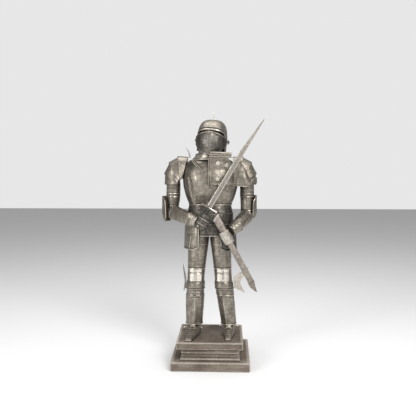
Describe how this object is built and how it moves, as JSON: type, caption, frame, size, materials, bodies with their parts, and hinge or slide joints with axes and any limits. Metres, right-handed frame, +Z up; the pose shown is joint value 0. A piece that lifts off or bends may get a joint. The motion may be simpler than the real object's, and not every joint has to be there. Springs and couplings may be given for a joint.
{
  "type": "decorative suit of armour",
  "caption": "Small sheet-steel model of a jousting armour with drawn sword, empty scabbard and hinged visor, standing on a two-step plinth.",
  "frame": {"origin": "middle of the plinth's flat underside", "axes": "+Z up through the figure, -Y towards the viewer in front of the figure, -X towards the figure's own right hand with the drawn sword"},
  "size_m": [0.2493, 0.189, 0.6171],
  "materials": {
    "plate_steel": "antiqued, warm grey, brushed and scratched",
    "dark_steel": "dark antiqued, worn at the edges",
    "bright_steel": "rubbed bright",
    "blade_steel": "brushed, with a darker back",
    "scabbard_metal": "mottled grey-brown sheet",
    "plinth_wood": "grey-brown stain, worn and streaked, light at the edges"
  },
  "bodies": {
    "root": {"plinth_lower_slab": "plinth_wood", "plinth_middle_block": "plinth_wood", "plinth_upper_slab": "plinth_wood", "right_sabaton": "plate_steel", "right_ankle_bolt_outer": "bright_steel", "right_ankle_bolt_inner": "bright_steel", "right_greave": "plate_steel", "right_poleyn": "plate_steel", "right_knee_plate": "bright_steel", "right_knee_wing": "plate_steel", "right_cuisse": "plate_steel", "left_sabaton": "plate_steel", "left_ankle_bolt_outer": "bright_steel", "left_ankle_bolt_inner": "bright_steel", "left_greave": "plate_steel", "left_poleyn": "plate_steel", "left_knee_plate": "bright_steel", "left_knee_wing": "plate_steel", "left_cuisse": "plate_steel", "fauld": "dark_steel", "right_tasset": "plate_steel", "left_tasset": "dark_steel", "cuirass": "plate_steel", "gorget": "plate_steel", "helmet_skull": "plate_steel", "visor_pivot_right": "dark_steel", "visor_pivot_left": "dark_steel", "helmet_finial": "bright_steel", "grandguard": "plate_steel", "grandguard_collar": "plate_steel", "grandguard_washer_1": "bright_steel", "grandguard_washer_2": "bright_steel", "grandguard_washer_3": "bright_steel", "right_pauldron_lame_1": "plate_steel", "right_pauldron_lame_2": "plate_steel", "right_pauldron_lame_3": "plate_steel", "right_pauldron_lame_4": "plate_steel", "left_pauldron_lame_1": "plate_steel", "left_pauldron_lame_2": "plate_steel", "left_pauldron_lame_3": "plate_steel", "left_pauldron_lame_4": "plate_steel", "left_pauldron_plate": "plate_steel", "right_shoulder_spike": "bright_steel", "right_rerebrace": "plate_steel", "right_couter": "plate_steel", "right_gauntlet_cuff": "plate_steel", "right_vambrace": "plate_steel", "left_rerebrace": "plate_steel", "left_couter": "plate_steel", "left_gauntlet_cuff": "plate_steel", "left_vambrace": "plate_steel", "sword_blade": "blade_steel", "sword_guard": "bright_steel", "sword_grip": "dark_steel", "right_gauntlet_hand": "dark_steel", "scabbard": "scabbard_metal", "scabbard_chape": "plate_steel", "left_gauntlet_hand": "bright_steel", "guard_chain": "plate_steel"},
    "visor": {"visor": "dark_steel"}
  },
  "joints": [
    {"name": "visor_hinge", "type": "hinge", "parent": "root", "child": "visor", "pos_m": [0.0022, -0.005, 0.546], "axis": [-0.9935, 0.0869, 0.0732], "range_deg": [0, 55]}
  ]
}
